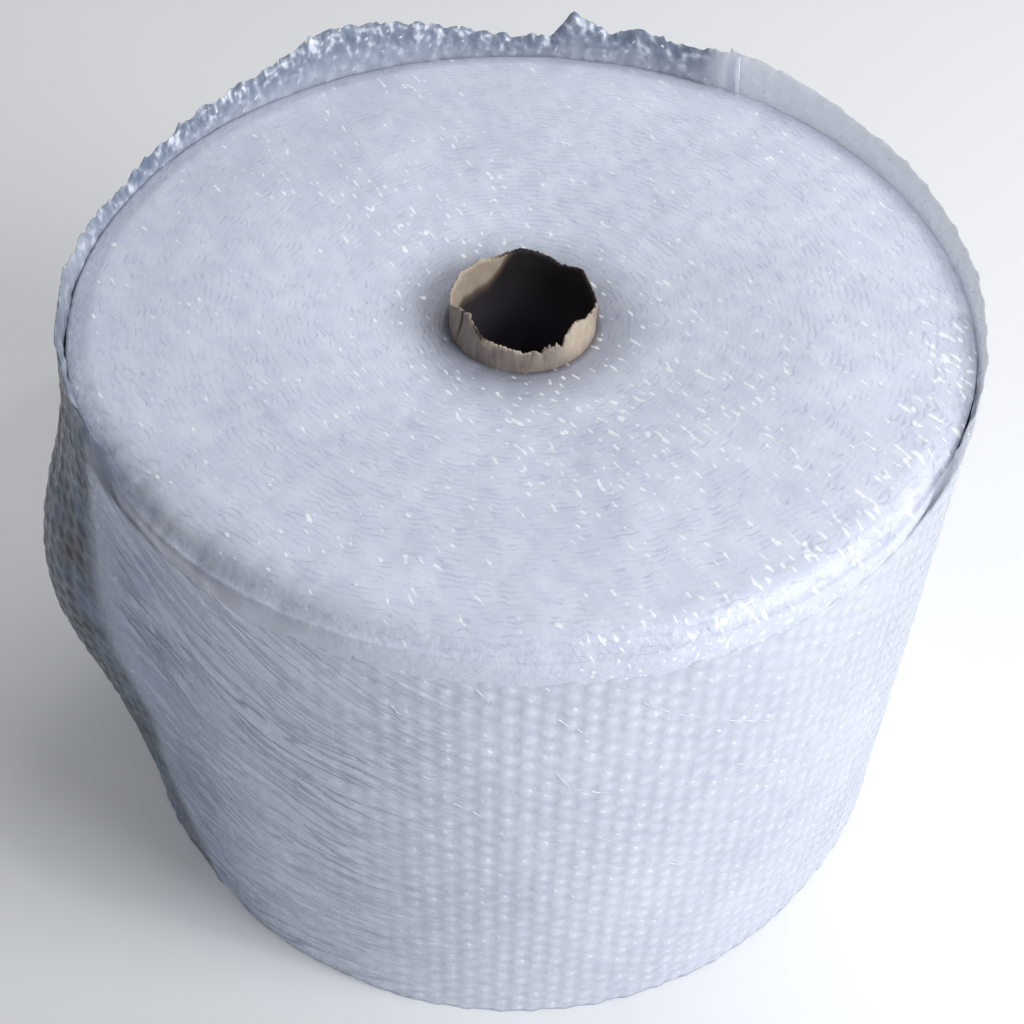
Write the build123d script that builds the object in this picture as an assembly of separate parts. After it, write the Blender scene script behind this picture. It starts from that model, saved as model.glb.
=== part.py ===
"""Bubble wrap roll, stood on one end: a web of small-bubble sheet wound on a paper core tube.

The web's turns are one solid. Its upper end is dished towards the core, because the inner turns have slid
down a little. The last turn is slack round the back and one side: it stands proud of the end face as a
ragged collar, bellies out into a pocket on the -X side, and ends in a free tail at the back.
The core's upper rim is torn, and pushed in where it was knocked.

+Z runs up the core. The origin is the centre of the core at the end that the roll stands on. Millimetres.
"""

from build123d import *
import os
from math import cos, exp, radians, sin

# Web and winding
web_width = 350.0  # width of the bubble sheet, which is the roll's height and the core's length
sheet_thickness = 4.0  # one layer of sheet with its bubbles full
turn_pitch = 3.4  # the same layer, squeezed by the winding
tight_radius = 238.0  # outside of the last turn where it starts
body_radius = 237.2  # outside of the turns under it, which a tight last turn sinks into

# Core tube
core_bore = 76.0
core_wall = 2.0
core_radius = core_bore / 2 + core_wall

# End face
dish_depth = 18.0  # how far the turns at the core have slid below the outer ones
dish_rim_radius = 205.0  # outside this the end face is level
shoulder_radius = 13.0  # rounding of the outer turns' upper edge

# Last turn
tail_azimuth = 60.0  # where the web ends, in degrees from +X towards +Y
slack_from, slack_to = -28.0, 212.0  # azimuths between which the last turn stands off the roll
slack_gap = 4.5
slack_ease = 14.0  # half of the degrees over which the slack opens and closes

# Pocket in the last turn
pocket_depth = 37.0
pocket_azimuth = 192.0
pocket_spread_back, pocket_spread_front = 38.0, 15.0  # degrees on either side of its deepest line
pocket_height = 190.0  # height of its deepest point
pocket_spread_up, pocket_spread_down = 95.0, 105.0

# Height of the last turn's ragged upper edge: (azimuth, height)
collar_edge = [
    (-40, 344), (-28, 346), (-18, 352), (-6, 357), (4, 361), (14, 361), (24, 364), (36, 365),
    (48, 369), (60, 372), (68, 367), (73, 371), (78, 366), (81, 372), (83.5, 378), (86, 361),
    (92, 359), (98, 363), (104, 370), (112, 376), (118, 379), (122, 380), (126, 372), (132, 368),
    (140, 364), (148, 361), (156, 356), (166, 356), (178, 361), (190, 365), (200, 362), (208, 354),
    (216, 347), (228, 343),
]  # fmt: skip
collar_front_height = 342.0  # the same edge round the front, where it lies on the shoulder

# Torn rim of the core: (azimuth, radius of the outer face there, height)
core_rim = [
    (0, 39.5, 350), (10, 39.5, 349), (18, 39.7, 347), (27, 40, 350), (35, 40, 353), (44, 40, 351),
    (58, 39.6, 348), (70, 39.4, 350.5), (84, 39.6, 353), (96, 40, 353.5), (110, 40, 350), (126, 40, 351),
    (138, 40, 348.5), (150, 40, 350), (167, 40, 347), (176, 39.6, 350.5), (188, 39.6, 348), (200, 38.8, 352),
    (212, 36.8, 353), (224, 36.5, 351), (238, 37.5, 349), (252, 38.8, 348), (266, 39.2, 345.5),
    (273, 39, 344), (280, 38.6, 346), (285, 38.2, 343.5), (291, 37.6, 347.5), (298, 36.8, 347),
    (308, 36, 351.5), (317, 36, 353.5), (327, 37, 354), (338, 38.6, 350.5), (350, 39.4, 351.5),
]  # fmt: skip
core_bend_height = 334.0  # above this the core's wall leans in to its rim
core_blank_height = 366.0  # height of the wall before its rim is torn away


def at(azimuth, radius, height=0.0):
    """A point in cylindrical coordinates, in degrees and millimetres."""
    return (radius * cos(radians(azimuth)), radius * sin(radians(azimuth)), height)


def ease(value, start, end):
    """0 before start, 1 after end, and a smooth step between them."""
    share = min(1.0, max(0.0, (value - start) / (end - start)))
    return share * share * (3 - 2 * share)


def bump(value, centre, spread_below, spread_above):
    """A smooth bump of height 1 at centre, wider or narrower on either side."""
    spread = spread_below if value < centre else spread_above
    return exp(-(((value - centre) / spread) ** 2))


def last_turn_radius(azimuth, height):
    """Outside radius of the last turn; azimuth runs from the turn's start to its tail."""
    laid = turn_pitch * (azimuth - tail_azimuth) / 360
    turned = azimuth - 360 if azimuth > 360 + slack_from - 2 * slack_ease else azimuth
    opening = ease(turned, slack_from - slack_ease, slack_from + slack_ease)
    closing = 1 - ease(turned, slack_to - slack_ease, slack_to + slack_ease)
    slack = slack_gap * opening * closing
    pocket = pocket_depth * bump(turned, pocket_azimuth, pocket_spread_back, pocket_spread_front)
    pocket *= bump(height, pocket_height, pocket_spread_down, pocket_spread_up)
    return tight_radius + laid + slack + pocket


def last_turn_outline(height, inset, steps=48):
    """Closed outline of the last turn at one height, with the step that the tail makes."""
    azimuths = [tail_azimuth + 360 * i / steps for i in range(steps + 1)]
    points = [at(a, last_turn_radius(a, height) - inset, height) for a in azimuths]
    return Wire([Edge.make_spline(points), Edge.make_line(points[-1], points[0])])


def last_turn():
    """The slack last turn as a wall one sheet thick, before its upper edge is made ragged."""
    top = max(height for _, height in collar_edge) + 6
    levels = [0.0, 45.0, 95.0, 145.0, pocket_height, 235.0, 285.0, 335.0, top]
    outside = Solid.make_loft([last_turn_outline(z, 0.0) for z in levels])
    inside = Solid.make_loft([last_turn_outline(z, sheet_thickness) for z in levels])
    return outside - inside


def above(edge, hub_height, reach, top):
    """Everything above a torn edge, as one faceted solid that fans out from the roll's axis.

    edge holds (azimuth, radius, height) all the way round, in order.
    """
    rim = [at(a, reach, hub_height + (z - hub_height) * reach / r) for a, r, z in edge]
    lid = [(x, y, top) for x, y, _ in rim]
    hub = (0, 0, hub_height)
    faces = [Face(Wire.make_polygon(lid, close=True))]
    for i, point in enumerate(rim):
        j = (i + 1) % len(rim)
        faces.append(Face(Wire.make_polygon([hub, point, rim[j]], close=True)))
        faces.append(Face(Wire.make_polygon([point, rim[j], lid[j], lid[i]], close=True)))
    return Solid(Shell(faces))


def wound_turns():
    """The tight turns with their dished end, revolved round the core."""
    shoulder = web_width - shoulder_radius
    dish = Edge.make_spline(
        [(core_radius, 0, web_width - dish_depth), (dish_rim_radius, 0, web_width)],
        tangents=[(1, 0, 0.16), (1, 0, 0)],
    )
    level = Edge.make_line(dish @ 1, (body_radius - shoulder_radius, 0, web_width))
    bend = (body_radius - shoulder_radius * (1 - cos(radians(45))), 0)
    bend = (*bend, shoulder + shoulder_radius * sin(radians(45)))
    corner = Edge.make_three_point_arc(level @ 1, bend, (body_radius, 0, shoulder))
    side = Edge.make_line(corner @ 1, (body_radius, 0, 0))
    foot = Edge.make_line(side @ 1, (core_radius, 0, 0))
    bore = Edge.make_line(foot @ 1, dish @ 0)
    section = Face(Wire([dish, level, corner, side, foot, bore]))
    return revolve(section, axis=Axis.Z)


def bubble_web():
    """All the turns as one solid: the wound ones, and the last one cut to its ragged collar."""
    edge = [(a, tight_radius, z) for a, z in collar_edge]
    gap = (collar_edge[0][0] + 360) - collar_edge[-1][0]
    front = [collar_edge[-1][0] + gap * share for share in (0.2, 0.4, 0.6, 0.8)]
    edge += [(a, tight_radius, collar_front_height) for a in front]
    tops = above(edge, web_width, 2 * body_radius, 2 * web_width)
    return wound_turns() + (last_turn() - tops)


def core_mouth(inset):
    """The leaning wall above the roll, shrunk by inset, before its rim is torn."""
    foot = Wire.make_circle(core_radius - inset, Plane((0, 0, core_bend_height)))
    points = [at(a, r - inset, core_blank_height) for a, r, _ in core_rim[::2]]
    rim = Wire([Edge.make_spline(points, periodic=True)])
    return Solid.make_loft([foot, rim])


def core_tube():
    """Spiral-wound paper tube with its torn, knocked rim."""
    outside = Solid.make_cylinder(core_radius, core_bend_height)
    bore = Solid.make_cylinder(core_bore / 2, core_bend_height)
    mouth = core_mouth(0.0) - core_mouth(core_wall)
    tops = above(core_rim, web_width, 2 * core_radius, core_blank_height + 20)
    return (outside - bore) + (mouth - tops)


os.makedirs("parts", exist_ok=True)
for name, part in {"bubble_web": bubble_web(), "core_tube": core_tube()}.items():
    export_step(part, f"parts/{name}.step")
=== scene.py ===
from math import cos, pi, radians, sin

import bpy
import numpy as np
from mathutils import Matrix, Vector
from mathutils.bvhtree import BVHTree


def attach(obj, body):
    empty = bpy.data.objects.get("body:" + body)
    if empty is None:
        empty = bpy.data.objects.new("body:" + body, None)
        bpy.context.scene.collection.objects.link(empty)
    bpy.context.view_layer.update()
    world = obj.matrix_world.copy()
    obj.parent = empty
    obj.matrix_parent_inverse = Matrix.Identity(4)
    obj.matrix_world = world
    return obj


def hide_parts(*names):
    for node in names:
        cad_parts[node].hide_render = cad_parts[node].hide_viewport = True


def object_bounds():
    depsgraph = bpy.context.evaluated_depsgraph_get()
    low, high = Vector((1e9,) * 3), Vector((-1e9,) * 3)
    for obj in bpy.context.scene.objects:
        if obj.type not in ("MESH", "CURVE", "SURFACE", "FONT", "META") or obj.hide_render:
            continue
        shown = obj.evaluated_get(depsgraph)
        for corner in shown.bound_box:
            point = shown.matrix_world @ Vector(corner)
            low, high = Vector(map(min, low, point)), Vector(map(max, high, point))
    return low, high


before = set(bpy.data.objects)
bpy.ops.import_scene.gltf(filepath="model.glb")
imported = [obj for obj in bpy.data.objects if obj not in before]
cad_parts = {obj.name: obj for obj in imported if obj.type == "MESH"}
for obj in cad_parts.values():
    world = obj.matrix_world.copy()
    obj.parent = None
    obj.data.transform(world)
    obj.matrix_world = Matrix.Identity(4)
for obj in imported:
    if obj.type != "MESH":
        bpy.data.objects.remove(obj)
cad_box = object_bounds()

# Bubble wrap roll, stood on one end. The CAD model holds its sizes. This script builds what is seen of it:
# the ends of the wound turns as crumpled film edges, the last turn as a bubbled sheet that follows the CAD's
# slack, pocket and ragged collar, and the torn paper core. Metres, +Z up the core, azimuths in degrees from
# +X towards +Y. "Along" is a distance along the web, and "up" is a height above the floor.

mm = 0.001

# Web and winding
web_width = 350 * mm
turn_pitch = 3.4 * mm
core_radius = 40 * mm
body_radius = 236.4 * mm  # outside of the turns under the last one
last_turn_radius = 241 * mm  # of the last turn where it is tight
shoulder_radius = 13 * mm  # rounding of the tight turns' upper edge
rim_cover = 3.6 * mm  # how far the turns' crumpled edges reach over the last turn where it is tight
tail_azimuth = 60.0  # where the last turn starts, and ends 360 degrees later
slack_from, slack_to = -28.0, 212.0  # the last turn stands off the roll between these azimuths
slack_ease = 14.0

# Bubble sheet
bubble_pitch = 11.4 * mm  # hexagonal, in upright columns
column_pitch = bubble_pitch * cos(radians(30))
bubble_radius = 5.3 * mm
bubble_height = 1.2 * mm  # what is left of it under the winding's tension
film_gap = 2.2 * mm  # from the inner face of the last turn to its outer one, between bubbles
steps_per_column = 4
steps_per_bubble = 4
fold_azimuth = 210.0  # about where the pocket's film folds back to the roll

# Sizes of the soft patches of colour
end_patch_size = 34 * mm
sheet_patch_size = 66 * mm

# Camera: where the eye stands, how far it looks down, and how far it is rolled
eye = Vector((-0.0032, -0.6834, 0.9271))
look_down = 47.606
camera_roll = 1.415
lens_mm = 58.11


# ---------------------------------------------------------------- helpers


def smooth(value, start, end):
    """0 before start, 1 after end, and a smooth step between them."""
    share = np.clip((value - start) / (end - start), 0.0, 1.0)
    return share * share * (3 - 2 * share)


def lattice(ix, iy, iz, seed):
    """A repeatable random number in 0..1 for each point of a whole-number lattice."""
    n = (ix * 374761393 + iy * 668265263 + iz * 1440662683 + seed * 974634777) & 0xFFFFFFFF
    n = ((n ^ (n >> 13)) * 1274126177) & 0xFFFFFFFF
    n = ((n ^ (n >> 16)) * 668265263) & 0xFFFFFFFF
    return ((n ^ (n >> 15)) & 0xFFFFFF) / 0xFFFFFF


def noise(x, y, z, size, seed):
    """Smooth noise in -1..1 whose lumps are about size across."""
    x, y, z = np.broadcast_arrays(x / size, y / size, z / size)
    low = [np.floor(c).astype(np.int64) for c in (x, y, z)]
    part = [c - f for c, f in zip((x, y, z), low)]
    part = [p * p * (3 - 2 * p) for p in part]
    total = np.zeros(x.shape)
    for corner in range(8):
        step = [(corner >> k) & 1 for k in range(3)]
        weight = np.ones(x.shape)
        for p, s in zip(part, step):
            weight = weight * (p if s else 1 - p)
        total += weight * lattice(*(f + s for f, s in zip(low, step)), seed)
    return 2 * total - 1


def clouds(points, size, seed):
    """Soft patches around 0.5, made of noise at three sizes."""
    x, y, z = np.asarray(points).reshape(-1, 3).T
    octaves = [noise(x, y, z, size / 2**k, seed + k) / 2**k for k in range(3)]
    return 0.5 + 0.17 * sum(octaves)


def folds(x, y, z, size, seed):
    """Noise with sharp creases, 0 in the lows and 1 along the crests."""
    return 1 - np.abs(noise(x, y, z, size, seed))


def peak(value, middle, width):
    """1 where the value is at the middle, fading to 0 on both sides."""
    return np.exp(-(((value - middle) / width) ** 2))


def azimuth_of(points):
    """Azimuths of the points, from -180 to 180."""
    return np.degrees(np.arctan2(points[:, 1], points[:, 0]))


def at(azimuth, radius, height):
    """Points in cylindrical coordinates, as an array of x, y, z."""
    angle = np.radians(azimuth)
    return np.stack(np.broadcast_arrays(radius * np.cos(angle), radius * np.sin(angle), height), -1)


def make_piece(name, points, faces, materials, values, face_material=None):
    """A mesh object that rides on the roll. values holds named numbers for each point, for materials."""
    mesh = bpy.data.meshes.new(name)
    low, high = (np.array(c) for c in cad_box)
    points = np.clip(points, low, high)
    loops = np.concatenate(list(faces))
    sizes = np.array([len(f) for f in faces], np.int32)
    starts = np.concatenate([[0], np.cumsum(sizes)[:-1]])
    mesh.vertices.add(len(points))
    mesh.vertices.foreach_set("co", points.astype(np.float32).ravel())
    mesh.loops.add(len(loops))
    mesh.loops.foreach_set("vertex_index", loops.astype(np.int32))
    mesh.polygons.add(len(sizes))
    mesh.polygons.foreach_set("loop_start", starts.astype(np.int32))
    mesh.polygons.foreach_set("loop_total", sizes)
    mesh.polygons.foreach_set("use_smooth", np.full(len(sizes), True))
    if face_material is not None:
        mesh.polygons.foreach_set("material_index", face_material.astype(np.int32))
    for key, numbers in values.items():
        layer = mesh.attributes.new(key, "FLOAT", "POINT")
        layer.data.foreach_set("value", np.asarray(numbers, np.float32).ravel())
    mesh.update(calc_edges=True)
    mesh.validate()
    for material in materials:
        mesh.materials.append(material)
    piece = bpy.data.objects.new(name, mesh)
    bpy.context.scene.collection.objects.link(piece)
    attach(piece, "root")
    return piece


def grid_faces(rows, columns, start=0, wrap=False, flip=False):
    """Quads of a grid whose points run along each row in turn. wrap joins the last column to the first."""
    across = np.arange(columns if wrap else columns - 1)
    down = np.arange(rows - 1)
    i, j = np.meshgrid(down, across, indexing="ij")
    k = (j + 1) % columns
    quads = np.stack([i * columns + j, i * columns + k, (i + 1) * columns + k, (i + 1) * columns + j], -1)
    quads = quads.reshape(-1, 4) + start
    return quads[:, ::-1] if flip else quads


# ---------------------------------------------------------------- shapes read from the CAD model


def surface_of(node):
    """The CAD node's surface, for casting rays at."""
    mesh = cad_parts[node].data
    points = [v.co.copy() for v in mesh.vertices]
    return BVHTree.FromPolygons(points, [tuple(p.vertices) for p in mesh.polygons])


web_surface = surface_of("bubble_web")
core_surface = surface_of("core_tube")


def top_height(surface, azimuth, radius):
    """Height of the surface straight below a point above the roll."""
    x, y = radius * cos(radians(azimuth)), radius * sin(radians(azimuth))
    hit = surface.ray_cast(Vector((x, y, 1.0)), Vector((0, 0, -1)))[0]
    return hit.z if hit else 0.0


def outside_radius(surface, azimuth, height):
    """Radius of the surface, met from outside."""
    out = Vector((cos(radians(azimuth)), sin(radians(azimuth)), 0))
    hit = surface.ray_cast(out + Vector((0, 0, height)), -out)[0]
    return Vector((hit.x, hit.y)).length if hit else 0.0


def slackness(azimuth):
    """1 where the last turn stands off the roll, and 0 where it is tight."""
    turned = (np.asarray(azimuth) + 90) % 360 - 90
    opening = smooth(turned, slack_from - slack_ease, slack_from + slack_ease)
    return opening * (1 - smooth(turned, slack_to - slack_ease, slack_to + slack_ease))


# profile of the wound turns' end, where the winding is tight
face_radii = np.linspace(core_radius + 0.5 * mm, body_radius + rim_cover, 82)
face_heights = np.array([top_height(web_surface, -80.0, r) for r in face_radii])


def face_height(radius, azimuth):
    """Height of the wound turns' end: dished towards the core, and rounded at its rim where it is tight."""
    height = np.interp(radius, face_radii, face_heights)
    square = np.maximum(web_width - 1 * mm - height, 0.0) * smooth(radius, 205 * mm, 228 * mm)
    return height + square * 0.75 * slackness(azimuth)


def wall_gap(azimuth):
    """How far the last turn's inner face stands off the turns under it, just above their end."""
    out = Vector((cos(radians(azimuth)), sin(radians(azimuth)), 0))
    hit = web_surface.ray_cast(out * (body_radius + 0.7 * mm) + Vector((0, 0, 346 * mm)), out)[0]
    return Vector((hit.x, hit.y)).length - body_radius if hit else 0.0


gap_azimuths = np.arange(0.0, 361.0, 3.0)
gaps = np.clip(np.array([wall_gap(a) for a in gap_azimuths]) - 0.7 * mm, 0, 15 * mm)


def loosened(radius, azimuth):
    """The outermost turns follow the slack one out."""
    reach = np.interp(np.asarray(azimuth) % 360, gap_azimuths, gaps)
    return radius + reach * slackness(azimuth) * smooth(radius, 195 * mm, body_radius)


# ---------------------------------------------------------------- materials


def new_material(name):
    material = bpy.data.materials.new(name)
    material.use_nodes = True
    material.node_tree.nodes.clear()
    return material


class Nodes:
    """Short names for building a node tree."""

    def __init__(self, material):
        self.tree = material.node_tree
        self.output = self.add("ShaderNodeOutputMaterial")
        self.surface = self.add("ShaderNodeBsdfPrincipled")
        self.link(self.surface.outputs["BSDF"], self.output.inputs["Surface"])

    def add(self, kind, **settings):
        node = self.tree.nodes.new(kind)
        for key, value in settings.items():
            setattr(node, key, value)
        return node

    def link(self, source, target):
        self.tree.links.new(source, target)

    def value(self, name):
        return self.add("ShaderNodeAttribute", attribute_name=name).outputs["Fac"]

    def place(self):
        return self.add("ShaderNodeTexCoord").outputs["Object"]

    def math(self, operation, a, b=None, c=None):
        node = self.add("ShaderNodeMath", operation=operation)
        for socket, x in zip(node.inputs, (a, b, c)):
            if x is None:
                continue
            if isinstance(x, (int, float)):
                socket.default_value = x
            else:
                self.link(x, socket)
        return node.outputs[0]

    def times(self, a, b):
        return self.math("MULTIPLY", a, b)

    def rest(self, x):
        """What is left of 1."""
        return self.math("SUBTRACT", 1.0, x)

    def distance(self, a, b):
        return self.math("SQRT", self.math("ADD", self.math("POWER", a, 2.0), self.math("POWER", b, 2.0)))

    def crest(self, source, middle, steepness):
        """1 where the source is at the middle, and lower by steepness for each unit away from it."""
        away = self.math("ABSOLUTE", self.math("SUBTRACT", source, middle))
        return self.rest(self.times(away, steepness))

    def vector(self, x, y):
        node = self.add("ShaderNodeCombineXYZ")
        self.link(x, node.inputs[0])
        self.link(y, node.inputs[1])
        return node.outputs[0]

    def spread(self, source, low, high, to_low=0.0, to_high=1.0):
        """Smooth step: to_low where the source is at low, and to_high where it is at high."""
        node = self.add("ShaderNodeMapRange", interpolation_type="SMOOTHSTEP")
        self.link(source, node.inputs["Value"])
        for key, x in (("From Min", low), ("From Max", high), ("To Min", to_low), ("To Max", to_high)):
            node.inputs[key].default_value = x
        return node.outputs["Result"]

    def noise(self, scale, detail=3.0, roughness=0.55, where=None, stretch=None, distortion=0.0):
        node = self.add("ShaderNodeTexNoise")
        node.inputs["Scale"].default_value = scale
        node.inputs["Detail"].default_value = detail
        node.inputs["Roughness"].default_value = roughness
        node.inputs["Distortion"].default_value = distortion
        place = where or self.place()
        if stretch:
            mapping = self.add("ShaderNodeMapping")
            mapping.inputs["Scale"].default_value = stretch
            self.link(place, mapping.inputs["Vector"])
            place = mapping.outputs["Vector"]
        self.link(place, node.inputs["Vector"])
        return node.outputs["Fac"]

    def ramp(self, source, stops):
        node = self.add("ShaderNodeValToRGB")
        elements = node.color_ramp.elements
        while len(elements) < len(stops):
            elements.new(0.5)
        for element, (position, colour) in zip(elements, stops):
            element.position = position
            element.color = (*colour, 1.0)
        self.link(source, node.inputs["Fac"])
        return node.outputs["Color"]

    def mix(self, share, a, b):
        node = self.add("ShaderNodeMix", data_type="RGBA")
        for socket, x in ((node.inputs[0], share), (node.inputs[6], a), (node.inputs[7], b)):
            if isinstance(x, float):
                socket.default_value = x
            elif isinstance(x, tuple):
                socket.default_value = (*x, 1.0)
            else:
                self.link(x, socket)
        return node.outputs[2]

    def bump(self, height, distance, strength=1.0, onto=None):
        node = self.add("ShaderNodeBump")
        node.inputs["Distance"].default_value = distance
        node.inputs["Strength"].default_value = strength
        self.link(height, node.inputs["Height"])
        if onto:
            self.link(onto, node.inputs["Normal"])
        return node.outputs["Normal"]

    def set(self, **sockets):
        for key, x in sockets.items():
            socket = self.surface.inputs[key.replace("_", " ")]
            if isinstance(x, (int, float, tuple)):
                socket.default_value = x
            else:
                self.link(x, socket)


# Colours of the film, as linear red, green and blue
# these two are painted shade: on the last turn's sheet, then on the wound turns' end
painted_sheet_shade = (0.265, 0.31, 0.445)
painted_end_shade = (0.31, 0.325, 0.39)
# white of the painted glints, also used to lighten soft frosty patches
film_glint = (0.97, 0.98, 1.0)
end_dull, end_light = (0.605, 0.645, 0.77), (0.68, 0.72, 0.845)
sheet_dull, sheet_light = (0.505, 0.54, 0.65), (0.60, 0.635, 0.74)
blister_light = (0.86, 0.89, 1.0)
# painted shade in crease valleys, and painted highlight on crease ridges
painted_valley_shade, painted_ridge_highlight = (0.10, 0.12, 0.18), (0.78, 0.83, 0.98)
# the pocket's clear film, painted dark for the shade seen through it
pocket_brown, pocket_dark, pocket_grey = (0.048, 0.044, 0.050), (0.056, 0.070, 0.101), (0.125, 0.16, 0.23)
net_grey, fold_grey = (0.17, 0.20, 0.25), (0.25, 0.29, 0.37)
# the frayed collar: painted shade on its dark streaks, painted sparkle on its white ones
frayed_painted_shade, frayed_grey, frayed_painted_sparkle = (0.16, 0.20, 0.29), (0.31, 0.36, 0.47), (0.86, 0.90, 1.0)
# painted light, where the clear film lets light through
clear_painted_light = (0.88, 0.92, 1.0)

# Colours of the board
board_dark, board_mid, board_light = (0.20, 0.152, 0.138), (0.30, 0.247, 0.22), (0.39, 0.335, 0.285)
ply_dull, ply_light = (0.44, 0.36, 0.27), (0.58, 0.50, 0.395)
# painted shade in the bore: brown, then near black, a little lighter far down
bore_painted_shade_brown, bore_painted_shadow, bore_painted_deep_shade = (0.15, 0.11, 0.085), (0.02, 0.016, 0.018), (0.078, 0.066, 0.088)


def drawn_out(n):
    """Places stretched along the way the film's crumples run, from back left to front right."""
    turn = n.add("ShaderNodeMapping", vector_type="TEXTURE")
    turn.inputs["Rotation"].default_value = (0.0, 0.0, radians(-56))
    turn.inputs["Scale"].default_value = (2.6, 1.0, 1.4)
    n.link(n.place(), turn.inputs["Vector"])
    return turn.outputs["Vector"]


def milky(n):
    """Colour of many layers of film, with soft patches."""
    return n.ramp(n.value("patch"), [(0.34, end_dull), (0.64, end_light)])


def frosted(n):
    """Milky film with painted shade and small painted glints."""
    tint = milky(n)
    places = drawn_out(n)
    fine = n.noise(110.0, detail=2.0, roughness=0.6, where=places)
    tint = n.mix(n.spread(fine, 0.35, 0.70, 0.0, 0.2), tint, film_glint)
    # painted glints, more where the glint attribute is higher
    specks = n.noise(390.0, detail=0.0, where=places)
    glints = n.spread(n.math("ADD", specks, n.value("glint")), 0.80, 0.88)
    # painted shade on the end
    shaded = n.mix(n.value("shade"), tint, painted_end_shade)
    return n.mix(n.times(glints, 0.85), shaded, film_glint)


def film_edges_material():
    """Cut and crumpled edges of the turns: thin, frosty film."""
    material = new_material("film_edges")
    n = Nodes(material)
    # painted shade on the end
    n.set(Base_Color=n.mix(n.value("shade"), milky(n), painted_end_shade))
    n.set(Alpha=n.spread(n.noise(130.0, detail=1.0), 0.38, 0.64, 0.03, 0.22))
    n.set(Roughness=0.3, Specular_IOR_Level=0.6, Coat_Weight=0.25, Coat_Roughness=0.14)
    return material


def last_turn_material(name, specular, coat):
    """One layer of bubble sheet: milky where it lies on the roll, darker with painted shade and clearer where
    it stands off.
    """
    material = new_material(name)
    n = Nodes(material)
    loose, taut, clear = n.value("loose"), n.value("taut"), n.value("clear")

    # the bubbles: blisters on the same lattice as the mesh's domes, no two alike, with places in mm
    column = n.value("column")
    near = n.math("ROUND", column)
    row = n.math("SUBTRACT", n.value("row"), n.times(n.math("FLOORED_MODULO", near, 2.0), 0.5))
    near_row = n.math("ROUND", row)
    across = n.times(n.math("SUBTRACT", column, near), column_pitch / mm)
    upward = n.times(n.math("SUBTRACT", row, near_row), bubble_pitch / mm)
    away = n.distance(across, upward)
    own = n.add("ShaderNodeTexWhiteNoise", noise_dimensions="2D")
    n.link(n.vector(near, near_row), own.inputs["Vector"])
    chance = n.add("ShaderNodeSeparateColor")
    n.link(own.outputs["Color"], chance.inputs[0])
    full = n.spread(own.outputs["Value"], 0.0, 1.0, 0.25, 1.0)
    blister = n.times(n.spread(away, 5.0, 1.6), full)
    net = n.spread(away, 3.2, 5.6)

    # a painted glint near each blister's middle, mostly above it to the right, drawn out downwards to the
    # right
    glint_length, glint_width = 2.7, 1.05
    right = n.math("SUBTRACT", across, n.spread(chance.outputs[0], 0.0, 1.0, -1.0, 3.0))
    top = n.math("SUBTRACT", upward, n.spread(chance.outputs[1], 0.0, 1.0, -1.0, 3.4))
    down = n.times(n.math("SUBTRACT", right, top), 1 / glint_length)
    over = n.times(n.math("ADD", right, top), 1 / glint_width)
    dash = n.spread(n.distance(down, over), 1.0, 0.35)
    dash = n.times(dash, n.spread(chance.outputs[2], 0.25, 1.0, 0.0, 0.9))
    dash = n.times(dash, n.rest(n.times(taut, 0.92)))

    # creases of the taut film, with a thin dark valley of painted shade beside each light ridge of painted
    # highlight
    crease_length, crease_width = 75, 13
    lengthways = n.times(n.value("along"), 1 / crease_length)
    sideways = n.times(n.value("fan"), 1 / crease_width)
    waves = n.noise(1.0, detail=1.4, where=n.vector(lengthways, sideways), distortion=0.7)
    ridge = n.times(n.spread(n.crest(waves, 0.56, 16.0), 0.0, 1.0), taut)
    deepness = n.spread(n.noise(14.0, detail=1.0), 0.35, 0.65, 0.4, 1.0)
    valley = n.times(n.spread(n.crest(waves, 0.46, 17.0), 0.0, 1.0), n.times(taut, deepness))

    # milky film on the roll
    tint = n.ramp(n.value("patch"), [(0.34, sheet_dull), (0.64, sheet_light)])
    tint = n.mix(n.spread(n.noise(130.0, detail=2.0), 0.35, 0.7, 0.0, 0.16), tint, film_glint)
    tint = n.mix(n.times(blister, 0.22), tint, blister_light)
    # painted shade on the sheet, from its shade attribute
    cool = n.mix(n.value("shade"), tint, painted_sheet_shade)
    # painted shade in the crease valleys, painted highlight on the ridges
    cool = n.mix(n.times(valley, 0.85), cool, painted_valley_shade)
    cool = n.mix(n.times(ridge, 0.34), cool, painted_ridge_highlight)

    # the pocket's clear film, painted dark for the shade seen through it, with a net of lighter film between
    # its bubbles, and the frayed collar, streaked from painted shade to painted sparkle
    pocket_painted_shade = n.ramp(n.noise(24.0, detail=2.0), [(0.36, pocket_brown), (0.5, pocket_dark), (0.66, pocket_grey)])
    netted = n.times(net, n.spread(n.noise(60.0, detail=1.0), 0.3, 0.7, 0.1, 0.75))
    pocket_painted_shade = n.mix(netted, pocket_painted_shade, net_grey)
    # the collar's streaks, from painted shade to painted sparkle
    strands = n.noise(210.0, detail=1.0, where=drawn_out(n))
    frayed = n.ramp(strands, [(0.40, frayed_painted_shade), (0.56, frayed_grey), (0.70, frayed_painted_sparkle)])
    film = n.mix(n.times(n.value("fold"), 0.75), n.mix(loose, cool, pocket_painted_shade), fold_grey)
    base = n.mix(n.value("collar"), film, frayed)
    # painted light where the film is clear, as if coming through it
    base = n.mix(n.times(n.spread(clear, 0.3, 0.6), 0.8), base, clear_painted_light)

    # painted glints, and a painted highlight in the middle of each clear bubble
    bright = n.times(dash, n.rest(n.times(loose, 0.9)))
    spots = n.times(n.spread(away, 2.6, 1.0), n.times(clear, chance.outputs[0]))
    bright = n.math("MAXIMUM", n.math("MAXIMUM", bright, spots), n.value("glint"))
    n.set(Base_Color=n.mix(bright, base, film_glint))

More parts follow.
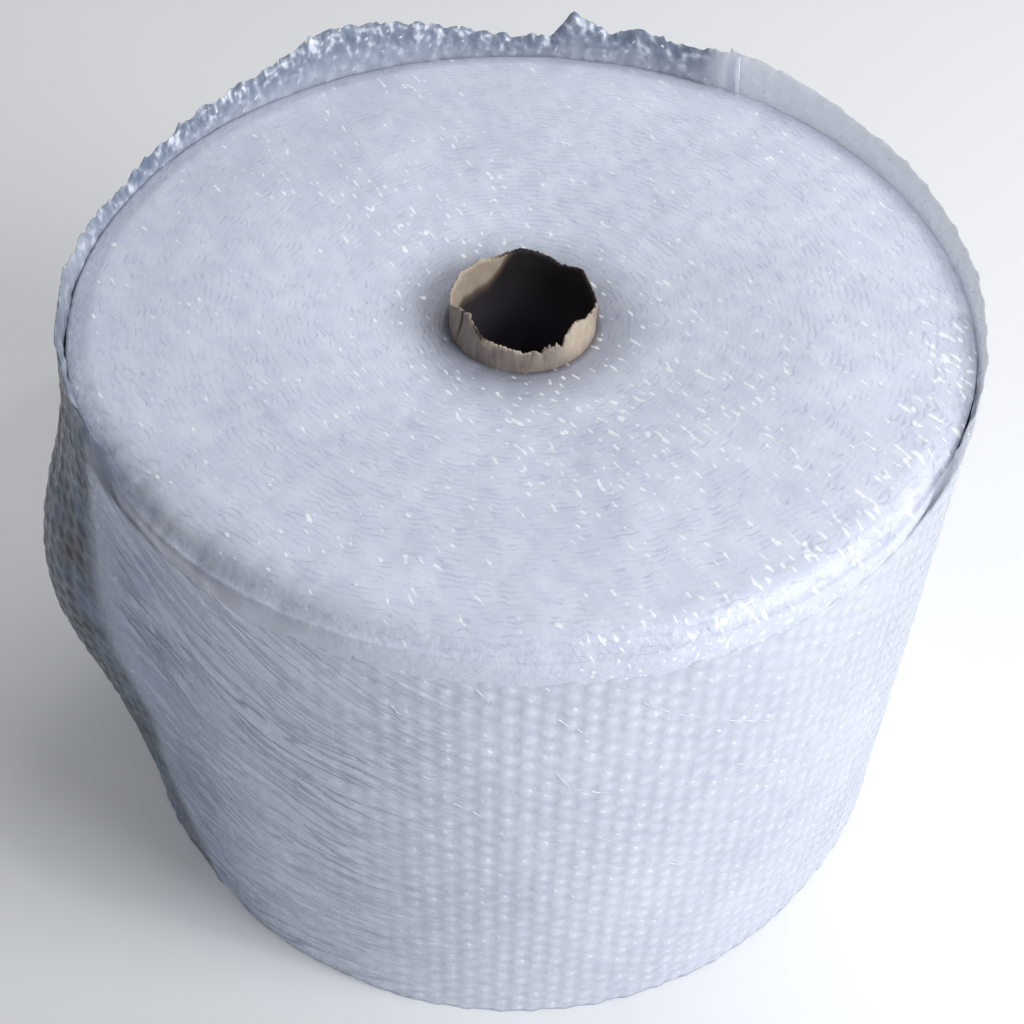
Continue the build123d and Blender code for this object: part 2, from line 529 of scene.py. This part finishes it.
    # clear film is see-through, less so in its bubbles, and the sheet melts into the roll's tight shoulder
    dots = n.times(n.spread(away, 5.2, 3.0), 0.06)
    thin = n.times(clear, n.math("SUBTRACT", 0.78, n.math("MAXIMUM", dots, dash)))
    n.set(Alpha=n.rest(n.math("MAXIMUM", thin, n.value("melt"))))

    n.set(Roughness=n.spread(n.noise(120.0, detail=1.0), 0.35, 0.65, 0.20, 0.42))
    n.set(Specular_IOR_Level=specular, Coat_Weight=coat, Coat_Roughness=0.12)
    flattened = n.rest(n.times(taut, 0.85))
    bubbles = n.bump(n.times(blister, flattened), 0.7 * mm, 0.5)
    fine = n.times(n.noise(420.0, detail=0.0), 0.2)
    n.set(Normal=n.bump(n.math("ADD", n.math("SUBTRACT", ridge, valley), fine), 0.8 * mm, 0.8, bubbles))
    return material


def turns_body_material():
    """The wound turns behind their edges."""
    material = new_material("wound_film")
    n = Nodes(material)
    n.set(Base_Color=frosted(n))
    n.set(Roughness=0.42, Specular_IOR_Level=0.5)
    crumples = n.times(n.noise(230.0, detail=2.0, roughness=0.6), n.value("crumpled"))
    n.set(Normal=n.bump(crumples, 1.0 * mm, 0.35))
    return material


def board_material():
    """Grey-brown kraft board, with fibres, and painted shade in its bore, on torn plies out of the sun and
    beside the buckle.
    """
    material = new_material("core_board")
    n = Nodes(material)
    fibres = n.noise(260.0, detail=5.0, stretch=(1.0, 1.0, 0.25))
    tint = n.ramp(fibres, [(0.30, board_dark), (0.52, board_mid), (0.75, board_light)])
    pale = n.ramp(n.noise(180.0, detail=4.0), [(0.3, ply_dull), (0.7, ply_light)])
    board = n.mix(n.value("pale"), tint, pale)
    # painted shade: brown, then near black, a little lighter far down the bore
    dark = n.mix(n.value("down"), bore_painted_shadow, bore_painted_deep_shade)
    brown = n.mix(n.spread(n.value("core_painted_shade"), 0.0, 0.5), board, bore_painted_shade_brown)
    n.set(Base_Color=n.mix(n.spread(n.value("core_painted_shade"), 0.3, 1.0), brown, dark))
    n.set(Roughness=0.78, Specular_IOR_Level=0.3)
    n.set(Normal=n.bump(fibres, 0.5 * mm, 0.5))
    return material


# ---------------------------------------------------------------- wound turns


def spiral(step):
    """Distance along the web from the core, angle in radians, and radius, at equal steps along the web."""
    length = pi * ((body_radius + rim_cover) ** 2 - core_radius**2) / turn_pitch
    along = np.arange(0.0, length, step)
    radius = np.sqrt(core_radius**2 + turn_pitch * along / pi)
    return along, 2 * pi * (radius - core_radius) / turn_pitch + radians(tail_azimuth), radius


def front_rim(azimuth, radius):
    """1 on the right-hand front rim, where the outer turns' edges are folded over and catch the light."""
    turned = (azimuth + 180) % 360 - 180
    return smooth(turned, -95, -60) * (1 - smooth(turned, -10, 15)) * smooth(radius, 200 * mm, 224 * mm)


def edge_ribbon(step, rows, seed, scallop, height, lean, base_height, upward=1.0):
    """The edge of one film of the web, all the way along the spiral, standing on the wound turns' end.

    scallop is how far its bubbles bulge, and lean how far its crumpled edge strays. upward is 1 where the
    edge stands up from base_height, and -1 where it hangs down.
    """
    rooted = 0.35 * mm  # how far it reaches into the end
    along, angle, radius = spiral(step)
    azimuth = np.degrees(angle)
    x, y = radius * np.cos(angle), radius * np.sin(angle)
    bulge = scallop * np.abs(np.sin(pi * along / bubble_pitch)) ** 0.8
    wander = 1.3 * mm * noise(x, y, 0.0, 46 * mm, seed)
    crush = 0.6 + 0.5 * noise(x, y, 0.0, 14 * mm, seed + 1)
    rough = 1 + 0.4 * front_rim(azimuth, radius)
    own = lattice(np.arange(len(along)), along.astype(int), angle.astype(int), seed + 2)
    jagged = 0.45 + 0.55 * folds(x, y, 0.0, 5 * mm, seed + 3) + 0.5 * (own - 0.5)
    rise = height * rough * jagged * crush
    stray_out = lean * rough * noise(x, y, 0.0, 4.5 * mm, seed + 4)
    stray_along = lean * noise(x, y, 9.0, 4.5 * mm, seed + 5)
    points = []
    for row in range(rows):
        share = row / (rows - 1)
        r = radius + wander + bulge * (0.5 + 0.5 * share) + stray_out * share**2
        r = np.clip(r, core_radius + 0.6 * mm, rim_radius(azimuth))
        z = base_height(r, azimuth) + upward * (-rooted + (rise + rooted) * share)
        r = loosened(r, azimuth)
        turn = angle + stray_along * share / radius
        points.append(np.stack([r * np.cos(turn), r * np.sin(turn), z], -1))
    return np.concatenate(points), grid_faces(rows, len(along))


def rim_radius(azimuth):
    """How far out the wound turns' end reaches: over the last turn where it is tight."""
    return body_radius + rim_cover * (1 - slackness(azimuth))


def revolved(profile, columns, wobble):
    """A closed ring from a profile of (radius, height, cover).

    Where the height is None, the point is on the wound turns' end, and its radius is a share of the way from
    the core to the rim. Cover is the share of the rim's reach over the tight last turn that is added.
    """
    azimuth = np.arange(columns) * 360 / columns
    rows = []
    for radius, height, cover in profile:
        if height is None:
            radius = core_radius + (rim_radius(azimuth) - core_radius) * radius
            height = face_height(radius, azimuth) - 0.25 * mm
        radius = radius + cover * (rim_radius(azimuth) - body_radius)
        x, y = radius * np.cos(np.radians(azimuth)), radius * np.sin(np.radians(azimuth))
        lumps = wobble * noise(x, y, height, 9 * mm, 5)
        rows.append(at(azimuth, loosened(radius, azimuth), height + lumps))
    points = np.concatenate(rows)
    faces = grid_faces(len(profile), columns, wrap=True)
    last = (len(profile) - 1) * columns
    j = np.arange(columns)
    k = (j + 1) % columns
    closing = np.stack([last + j, last + k, k, j], -1)
    return points, np.concatenate([faces, closing])[:, ::-1]


def end_shade(points):
    """Painted shade on the end: most near the core, where the dished turns shade each other, on the left and
    its creased rim, and at the back rim.
    """
    radius = np.hypot(points[:, 0], points[:, 1])
    azimuth = azimuth_of(points)
    turned = azimuth % 360
    behind = slackness(azimuth) * smooth(turned, 50, 75) * smooth(radius, 222 * mm, 238 * mm)
    left_rim = smooth(turned, 198, 214) * (1 - smooth(turned, 228, 275)) * smooth(radius, 208 * mm, 238 * mm)
    left = smooth(-points[:, 0], -130 * mm, 170 * mm)
    near_core = 0.9 * (1 - smooth(radius, core_radius, core_radius + 46 * mm)) ** 1.3
    creased = folds(azimuth / 1.3, (points[:, 2] - radius) / (40 * mm), 0.0, 1.0, 64) ** 5
    return np.clip(near_core + 0.3 * behind + (0.4 + 0.35 * creased) * left_rim + 0.1 * left, 0, 1)


def end_glint(points):
    """How many painted glints there are: most in front of the core to its right, and on the right-hand front
    rim.
    """
    x, y = points[:, 0], points[:, 1]
    near_core = peak(x, 60 * mm, 95 * mm) * peak(y, -75 * mm, 70 * mm)
    behind = peak(x, -45 * mm, 60 * mm) * peak(y, 70 * mm, 60 * mm)
    many = np.clip(near_core + 0.55 * behind + 0.9 * front_rim(azimuth_of(points), np.hypot(x, y)), 0, 1)
    crowd = noise(x, y, 0.0, 24 * mm, 17) + 0.6 * noise(x, y, 0.0, 9 * mm, 18)
    return 0.11 * many + 0.045 + 0.028 * crowd


def make_wound_turns(materials):
    """The turns under the last one: a solid body, with the films' edges standing on its upper end."""
    floor_gap = 1.6 * mm
    shares = np.concatenate([np.linspace(0, 0.9, 40), np.linspace(0.91, 1, 12)])
    top = [(share, None, 0.0) for share in shares]
    covers = [(335.5, 1.0), (332, 0.97), (328, 0.88), (324, 0.72), (319, 0.4), (313, 0.0)]
    side = [(body_radius, height * mm, cover) for height, cover in covers]
    side += [(body_radius, h, 0.0) for h in np.linspace(290 * mm, floor_gap, 11)]
    under = [(r, floor_gap, 0.0) for r in np.linspace(body_radius - 4 * mm, core_radius, 22)]
    body, body_faces = revolved(top + side + under, 300, 0.4 * mm)
    bubbles, bubble_faces = edge_ribbon(1.95 * mm, 3, 23, 1.3 * mm, 0.5 * mm, 2.6 * mm, face_height)
    points = np.concatenate([body, bubbles])
    faces = np.concatenate([body_faces, bubble_faces + len(body)])
    kinds = np.concatenate([np.zeros(len(body_faces)), np.ones(len(bubble_faces))])
    crumpled = 0.5 + 1.3 * smooth(np.hypot(points[:, 0], points[:, 1]), 226 * mm, 236 * mm)
    values = {
        "shade": end_shade(points),
        "glint": end_glint(points),
        "patch": clouds(points, end_patch_size, 6),
        "crumpled": crumpled,
    }
    piece = make_piece("wound_turns", points, faces, materials, values, kinds)
    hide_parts("bubble_web")
    return piece


def standing_height(radius, azimuth):
    """Where the edges that the roll stands on begin. It is level all over."""
    return np.full_like(radius, 1.7 * mm)


def make_standing_end(material):
    """The turns' edges that the roll stands on, pressed flat by its weight."""
    backing, backing_faces = edge_ribbon(5.7 * mm, 2, 41, 0.0, 1.5 * mm, 0.5 * mm, standing_height, -1.0)
    bubbles, bubble_faces = edge_ribbon(2.85 * mm, 3, 53, 1.5 * mm, 1.6 * mm, 0.9 * mm, standing_height, -1.0)
    points = np.concatenate([backing, bubbles])
    faces = np.concatenate([backing_faces, bubble_faces + len(backing)])
    values = {"shade": end_shade(points), "patch": clouds(points, end_patch_size, 6)}
    piece = make_piece("standing_end", points, faces, [material], values)
    return piece


# ---------------------------------------------------------------- last turn


def blurred(rows, width):
    """Each row of numbers, evened out over width columns."""
    window = np.hanning(width + 2)[1:-1]
    window /= window.sum()
    padded = np.pad(rows, ((0, 0), (width // 2, width // 2)), mode="edge")
    return np.stack([np.convolve(row, window, mode="valid") for row in padded])


def sheet_outline(azimuth, share):
    """The last turn's upper edge at each azimuth, and its outside at each share of the height, from the CAD.

    Before its start, the sheet carries on under the tail.
    """
    wall_radii = np.arange(body_radius + 1 * mm, body_radius + 22 * mm, 0.8 * mm)
    levels = np.linspace(0.01, 0.985, 22)
    met = np.where(azimuth < tail_azimuth, azimuth + 359.5, azimuth)
    edge = np.array([max(top_height(web_surface, a, r) for r in wall_radii) for a in met])
    outside = np.array([[outside_radius(web_surface, a, e * s) for a, e in zip(met, edge)] for s in levels])
    hidden = azimuth < tail_azimuth
    edge = np.where(azimuth < tail_azimuth - 3, web_width - 8 * mm, edge)
    outside = blurred(np.where(hidden, outside - 4.6 * mm, outside), 9)
    radius = np.stack([np.interp(share, levels, column) for column in outside.T], 1)
    return edge, radius


def bubble_domes(column, row):
    """Height of the bubbles, from 0 to about 1, at places counted in columns and rows of bubbles."""
    height = np.zeros(column.shape)
    near = np.round(column).astype(np.int64)
    for neighbour in (-1, 0, 1):
        c = near + neighbour
        offset = 0.5 * (c % 2)
        r = np.round(row - offset).astype(np.int64)
        away = np.hypot((column - c) * column_pitch, (row - offset - r) * bubble_pitch) / bubble_radius
        full = 0.5 + 0.6 * lattice(c, r, 0 * r, 71)
        height = np.maximum(height, np.clip(1 - away**2, 0, 1) * full)
    return height


fold_heights = [22, 61, 94, 140, 183, 238]  # mm up, where the pocket's film folds back to the roll
fold_places = [33, 19, 9, 13, -4, -12]  # mm along the web from the fold's azimuth there

# Small creases that stand up from the sheet, catch the light and carry a painted glint, as (azimuth, height
# in mm) along each
folded_creases = [
    [(273.2, 302), (275.6, 295), (278.6, 283)],
    [(283.8, 306), (287.5, 292), (293.4, 275)],
    [(272.6, 272), (276.9, 240), (281.4, 231)],
    [(289.8, 232), (292.5, 220)],
    [(295.4, 270), (302.4, 251)],
    [(265.7, 320), (267.9, 309)],
    [(297.0, 229), (301.5, 212), (307.2, 199)],
    [(262.0, 226), (266.5, 214)],
    [(312.0, 300), (318.5, 288)],
    [(281.0, 190), (285.4, 176)],
    [(303.0, 331), (306.0, 325), (311.0, 322)],
    [(255.0, 300), (258.4, 288)],
    [(289.0, 150), (295.0, 139)],
]


def raised_crease(stops, azimuth, up, film):
    """A slender fold of film standing on the sheet, closed underneath and pointed at both ends."""
    share = np.linspace(0, 1, 18)
    along = np.linspace(0, 1, len(stops))
    turned = np.interp(share, along, [a for a, _ in stops])
    height = np.interp(share, along, [h for _, h in stops]) * mm
    height = height + 0.7 * mm * noise(share * 9, turned[0], 0.0, 1.0, 151)
    uneven = 0.75 + 0.25 * noise(share * 14, turned[0], 1.0, 1.0, 152)
    full = np.sqrt(np.clip(np.sin(pi * share), 0, 1)) * uneven
    columns = np.clip(np.searchsorted(azimuth, turned), 0, len(azimuth) - 1)
    surface = np.array([np.interp(h, up[:, c], film[:, c]) for h, c in zip(height, columns)])
    rows = []
    for side, out in ((-0.5, -0.5), (0.0, 0.5), (0.5, -0.5), (0.0, -1.0)):
        rows.append(at(turned, surface + out * mm * np.maximum(full, 0.05), height + side * mm * full))
    points = np.concatenate(rows)
    j = np.arange(len(share) - 1)
    rings = [(a * len(share), (a + 1) % 4 * len(share)) for a in range(4)]
    faces = np.concatenate([np.stack([a + j, a + j + 1, b + j + 1, b + j], -1) for a, b in rings])
    corners = np.arange(4) * len(share)
    ends = [corners, corners[::-1] + len(share) - 1]
    return points, np.concatenate([faces, ends])[:, ::-1]


def sheet_faces(rows, columns, inner_rows):
    """Faces of a closed sheet. Its outer face has all the rows, and its inner face only the inner_rows."""
    start = rows * columns
    j = np.arange(columns - 1)
    top_out, top_in = (rows - 1) * columns, start + (len(inner_rows) - 1) * columns
    faces = [
        grid_faces(rows, columns),
        grid_faces(len(inner_rows), columns, start, flip=True),
        np.stack([top_out + j, top_out + j + 1, top_in + j + 1, top_in + j], -1),
        np.stack([start + j, start + j + 1, j + 1, j], -1),
    ]
    all_faces = list(np.concatenate(faces))
    for c, turn in ((0, 1), (columns - 1, -1)):
        for a in range(len(inner_rows) - 1):
            side = [i * columns + c for i in range(inner_rows[a], inner_rows[a + 1] + 1)]
            loop = side + [start + (a + 1) * columns + c, start + a * columns + c]
            all_faces.append(np.array(loop[::turn]))
    return all_faces


def make_last_turn(materials):
    """The sheet's last turn: tight in front, and slack from the right round the back to the pocket."""
    overlap = 26.0  # degrees of sheet under the tail
    first, last = tail_azimuth - overlap, tail_azimuth + 359.6
    columns = round(radians(last - first) * last_turn_radius / column_pitch) * steps_per_column + 1
    rows = round(web_width / bubble_pitch) * steps_per_bubble + 1
    azimuth = np.linspace(first, last, columns)
    share = np.linspace(0.0, 1.0, rows)
    edge, radius = sheet_outline(azimuth, share)

    slack = slackness(azimuth)
    tight = 1 - slack
    torn = slack * smooth((azimuth + 90) % 360 - 90, 54, 66)  # round the back, where the edge is frayed
    ragged = 1.6 * mm * noise(azimuth, 0.0, 0.0, 1.3, 31) + 1.2 * mm * noise(azimuth, 0.0, 0.0, 0.55, 32)
    top = edge + ragged * (0.3 + 0.7 * torn)
    up = top[None, :] * share[:, None]
    az = np.broadcast_to(azimuth, up.shape)
    along = np.radians(az - fold_azimuth) * last_turn_radius
    x, y = radius * np.cos(np.radians(az)), radius * np.sin(np.radians(az))

    # creases pulled forward out of the pocket, where the film is taut and its bubbles are flattened
    taut = smooth(az, 208, 215) * (1 - smooth(az, 240, 272)) * (1 - 0.6 * smooth(up, 330 * mm, 344 * mm))
    taut *= 0.8 + 0.2 * noise(x, y, up, 40 * mm, 61)
    fan = (up - 90 * mm) * np.exp(along / (400 * mm))
    fan = fan + 7 * mm * noise(along, up, 0.0, 60 * mm, 62)
    crease = folds(fan / (15 * mm), along / (70 * mm), 0.0, 1.0, 63) ** 4

    past_fold = along - np.interp(up, np.array(fold_heights) * mm, np.array(fold_places) * mm)
    fold = peak(past_fold, 0.0, 7 * mm) * smooth(up, 4 * mm, 30 * mm)
    fold *= 1 - smooth(up, 290 * mm, 320 * mm)

    column, row = np.broadcast_arrays(
        np.arange(columns)[None, :] / steps_per_column, np.arange(rows)[:, None] / steps_per_bubble
    )
    domes = bubble_height * bubble_domes(column, row)
    domes = domes * (1 - 0.85 * taut) * (1 - tight * smooth(up, 318 * mm, 337 * mm))
    buckle = 0.5 * mm * noise(x, y, up, 24 * mm, 81) + 0.35 * mm * noise(x, y, up, 7 * mm, 82)

    # over the roll's rounded shoulder where it is tight, and frilled along the free edge
    over = np.clip(up - (web_width - shoulder_radius), 0, shoulder_radius - 0.5 * mm)
    lean = (shoulder_radius - np.sqrt(shoulder_radius**2 - over**2)) * tight
    frilled = (0.25 * slack + 0.75 * torn) * smooth(up, top - 9 * mm, top)
    frill = frilled * 1.6 * mm * noise(x, y, up, 7 * mm, 91)
    tucked = tight * smooth(up, 328 * mm, 337 * mm)
    film = radius + (buckle - bubble_height) * (1 - tucked) + domes
    film = film + taut * 2.2 * mm * crease + frill + 1.2 * mm * fold
    film = np.minimum(film, radius) - lean
    outer = at(az, film, up)

    # the inner face: coarse below, fine where it is seen above the roll's end
    inner_rows = np.concatenate([np.arange(0, rows - 17, 12), np.arange(rows - 17, rows, 2)])
    inner_film = (film - domes - film_gap - 0.8 * slack * domes)[inner_rows]
    inner_film[-1] = film[-1] - 0.5 * mm
    inner = at(az[inner_rows], inner_film, up[inner_rows])

    # what the materials ask of each point
    # the pocket, whose film gets painted shade
    pocket = smooth(az, 172, 190) * (1 - smooth(past_fold, -6 * mm, 9 * mm))
    pocket = pocket * (0.6 + 0.4 * smooth(up, 5 * mm, 60 * mm))
    pocket = pocket * (1 - 0.35 * smooth(up, 330 * mm, 352 * mm))
    proud = slack * smooth(up, 343 * mm, edge - 3 * mm)
    back = smooth((az + 90) % 360 - 90, 58, 66)
    # painted shade on the sheet: most at azimuths 212 to 217, on the left towards the front, gone by 272, a
    # little less near the top edge, and a little over all the slack film
    shade = smooth(az, 196, 212) * (1 - 0.62 * smooth(az, 217, 238) - 0.38 * smooth(az, 232, 272))
    shade = shade * (1 - 0.2 * smooth(up, 300 * mm, 334 * mm)) + 0.15 * slack
    # the collar, streaked from painted shade to painted sparkle
    collar = 0.95 * proud * back * (1 - 0.75 * smooth(az, 160, 182))
    collar = collar + 0.7 * slack * (1 - back) * smooth(up, edge - 4.5 * mm, edge - 1.5 * mm)
    values = {
        "loose": np.clip(pocket, 0, 1),
        "clear": slack * smooth(up, 326 * mm, 348 * mm) * (0.62 - 0.47 * back),
        "melt": tight * smooth(up, 324 * mm, 333 * mm),
        "collar": collar,
        "glint": np.zeros(up.shape),
        "patch": clouds(outer, sheet_patch_size, 7).reshape(up.shape),
        "fold": fold,
        "shade": np.clip(shade, 0, 1),
        "taut": taut,
        "column": column,
        "row": row,
        "fan": fan / mm,
        "along": along / mm,
    }
    values = {k: np.concatenate([v.ravel(), v[inner_rows].ravel()]) for k, v in values.items()}

    points = np.concatenate([outer.reshape(-1, 3), inner.reshape(-1, 3)])
    faces = sheet_faces(rows, columns, inner_rows)
    sheet_points = len(points)
    for stops in folded_creases:
        ridge, ridge_faces = raised_crease(stops, azimuth, up, film)
        faces += list(ridge_faces + len(points))
        points = np.concatenate([points, ridge])
    extra = len(points) - sheet_points
    # the raised creases carry a painted glint
    crease_glint = 0.6
    for key, numbers in values.items():
        values[key] = np.append(numbers, np.full(extra, crease_glint if key == "glint" else 0.0))

    # the pocket's outside, from behind it to its fold, has the second material
    middles = np.array([points[f].mean(0) for f in faces])
    facing = azimuth_of(middles) % 360
    fold_line = np.interp(middles[:, 2] / mm, fold_heights, fold_places) * mm / last_turn_radius
    kinds = ((facing > 150) & (facing < fold_azimuth + np.degrees(fold_line))).astype(int)
    piece = make_piece("last_turn", points, faces, materials, values, kinds)
    return piece


# ---------------------------------------------------------------- core


core_dents = [(-62.0, -8.0), (-172.0, -122.0)]  # where the rim is knocked in to a straight chord
core_bend_height = 330 * mm  # the dents start here


def core_rim_radius(azimuth):
    """Outside of the knocked rim."""
    radius = np.full(np.shape(azimuth), core_radius)
    for start, end in core_dents:
        from_middle = (azimuth - (start + end) / 2 + 180) % 360 - 180
        half = (end - start) / 2
        chord = core_radius * cos(radians(half)) / np.cos(np.radians(np.clip(from_middle, -half, half)))
        radius = np.where(np.abs(from_middle) < half, chord, radius)
    return radius


def make_core(material):
    """Paper tube of several plies with a torn rim, knocked in at two places."""
    columns = 540
    azimuth = np.arange(columns) * 360 / columns
    rim = np.array([core_rim_height(a) for a in azimuth])
    bent = core_rim_radius(azimuth)
    jag = 1 + 1.5 * peak(azimuth, 294, 9) + peak(azimuth, 352, 7)
    notches = 3.5 * peak(azimuth, 303, 2.6) + 2.2 * peak(azimuth, 354, 2.2)
    lowered = 3.2 * smooth(azimuth, 296, 306) + 2.2 * (1 - smooth(azimuth, 118, 135))
    rim = rim - (notches + lowered) * mm
    torn_ply = 5 * mm * smooth(azimuth, 214, 245) * (1 - smooth(azimuth, 246, 249))
    layers = []
    for inset, drop, seed in ((0.0, 0.5, 1), (0.7, 0.0, 2), (1.3, 0.3, 3), (2.0, 0.9, 4)):
        teeth = noise(azimuth, 9.0 * seed, 0.0, 2.2, 103) + 0.8 * noise(azimuth, 9.0 * seed, 0.0, 0.9, 104)
        top = rim - drop * mm + 0.75 * mm * jag * teeth
        layers.append((inset * mm, top - torn_ply if inset == 0 else top))
    shares = np.concatenate([np.linspace(0, 0.82, 8), np.linspace(0.86, 0.945, 7), np.linspace(0.955, 1, 9)])

    def wall(inset, top):
        """Rings of one ply's face, from the floor to its torn top."""
        rows = []
        for share in shares:
            z = top * share
            lean = smooth(z, core_bend_height, core_bend_height + 22 * mm)
            buckled = 0.35 * mm * noise(azimuth, z / mm / 3, 0.0, 6.0, 105) * lean
            buckled = buckled - 1.6 * mm * peak(azimuth, 213, 2.2) * lean
            rows.append(at(azimuth, core_radius + (bent - core_radius) * lean + buckled - inset, z))
        return rows

    outer = wall(*layers[0])
    inner = wall(*layers[-1])[::-1]
    plies = [wall(*layer)[-1] for layer in layers[1:-1]]
    rings = outer + plies + inner
    points = np.concatenate(rings)
    faces = grid_faces(len(rings), columns, wrap=True)
    last = (len(rings) - 1) * columns
    j = np.arange(columns)
    k = (j + 1) % columns
    faces = np.concatenate([faces, np.stack([last + j, last + k, k, j], -1)])

    # what the material asks of each point: the faces of torn plies are pale, and painted shade makes the bore
    # dark lower down, and darkens torn plies' faces out of the sun and a line beside the buckle
    counts = [len(part) * columns for part in (outer, plies, inner)]
    torn_pale = 0.8
    pale = np.repeat([0.0, torn_pale, 1.0], counts)
    flap = np.exp(-(((azimuth_of(points) + 34) / 24) ** 4))
    pale = np.maximum(pale, 0.9 * flap * smooth(points[:, 2], 330 * mm, 340 * mm))
    inside = np.repeat([0.0, 0.0, 1.0], counts)
    turned = azimuth_of(points) % 360
    sunny = smooth(turned, 90, 128) * (1 - smooth(turned, 208, 242)) * (1 - 0.3 * smooth(turned, 165, 205))
    below = np.tile(rim, len(rings)) - points[:, 2]
    shadow = inside * smooth(below, (24 * sunny - 12) * mm, (26 * sunny + 2) * mm)
    # painted shade: the painted shadow, all of the bore a little, and torn plies' faces out of the sun
    core_painted_shade = np.maximum(np.maximum(shadow, 0.17 * inside), (pale == torn_pale) * 0.9 * (1 - sunny))
    core_painted_shade = core_painted_shade * (1 - smooth(turned, 232, 245) * (1 - inside))
    # a line of painted shade down from the rim beside the buckle
    buckle_painted_shade = 0.8 * peak(turned, 208, 1.6) * (1 - smooth(below, 8 * mm, 20 * mm))
    core_painted_shade = np.maximum(core_painted_shade, buckle_painted_shade * (1 - inside))
    values = {"pale": pale, "core_painted_shade": core_painted_shade, "down": smooth(below, 12 * mm, 50 * mm)}
    piece = make_piece("torn_core", points, faces, [material], values)
    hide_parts("core_tube")
    return piece


def core_rim_height(azimuth):
    """The CAD core's highest point at an azimuth, wherever its leaning wall has it."""
    return max(top_height(core_surface, azimuth, r * mm) for r in np.arange(34.5, 40, 0.5))


# ---------------------------------------------------------------- stage, lights, camera


def make_floor():
    half = 6.0  # half of its width
    corners = [(-half, -half, 0), (half, -half, 0), (half, half, 0), (-half, half, 0)]
    mesh = bpy.data.meshes.new("floor")
    mesh.from_pydata(corners, [], [(0, 1, 2, 3)])
    material = new_material("pale_floor")
    n = Nodes(material)
    n.set(Base_Color=(0.93, 0.935, 0.94, 1.0), Roughness=0.7, Specular_IOR_Level=0.2)
    mesh.materials.append(material)
    floor = bpy.data.objects.new("floor", mesh)
    bpy.context.scene.collection.objects.link(floor)


def area_light(name, place, target, size, power, colour):
    light = bpy.data.lights.new(name, "AREA")
    light.shape = "DISK"
    light.size = size
    light.energy = power
    light.color = colour
    lamp = bpy.data.objects.new(name, light)
    lamp.location = place
    lamp.rotation_euler = (Vector(target) - Vector(place)).to_track_quat("-Z", "Y").to_euler()
    bpy.context.scene.collection.objects.link(lamp)


def make_lights():
    world = bpy.data.worlds.new("studio")
    world.use_nodes = True
    background = world.node_tree.nodes["Background"]
    background.inputs["Color"].default_value = (0.93, 0.96, 1.0, 1.0)
    background.inputs["Strength"].default_value = 0.33
    bpy.context.scene.world = world
    middle = (0.0, 0.0, 0.25)
    area_light("skylight", (1.1, 1.4, 2.3), middle, 2.0, 20.0, (1.0, 1.0, 1.0))
    area_light("window", (1.8, -0.9, 1.45), middle, 1.3, 36.0, (0.97, 0.985, 1.0))
    area_light("fill", (0.4, -2.8, 1.1), middle, 2.0, 10.5, (0.93, 0.96, 1.0))
    area_light("sparkle", (1.1, -0.6, 2.6), middle, 0.16, 5.0, (1.0, 1.0, 1.0))


def make_camera():
    tilt, roll = radians(look_down), radians(camera_roll)
    forward = Vector((0, cos(tilt), -sin(tilt)))
    level_up = Vector((0, sin(tilt), cos(tilt)))
    right = cos(roll) * Vector((1, 0, 0)) + sin(roll) * level_up
    up = -sin(roll) * Vector((1, 0, 0)) + cos(roll) * level_up
    turn = Matrix((right, up, -forward)).transposed().to_4x4()
    data = bpy.data.cameras.new("camera")
    data.sensor_width = 36.0
    data.lens = lens_mm
    camera = bpy.data.objects.new("camera", data)
    camera.matrix_world = Matrix.Translation(eye) @ turn
    bpy.context.scene.collection.objects.link(camera)
    bpy.context.scene.camera = camera


make_camera()
film_edges = film_edges_material()
tight_sheet = last_turn_material("bubble_sheet", specular=0.6, coat=0.25)
slack_sheet = last_turn_material("slack_bubble_sheet", specular=0.2, coat=0.0)
make_wound_turns([turns_body_material(), film_edges])
make_standing_end(film_edges)
make_last_turn([tight_sheet, slack_sheet])
make_core(board_material())
make_floor()
make_lights()
bpy.context.scene.view_settings.view_transform = "Standard"
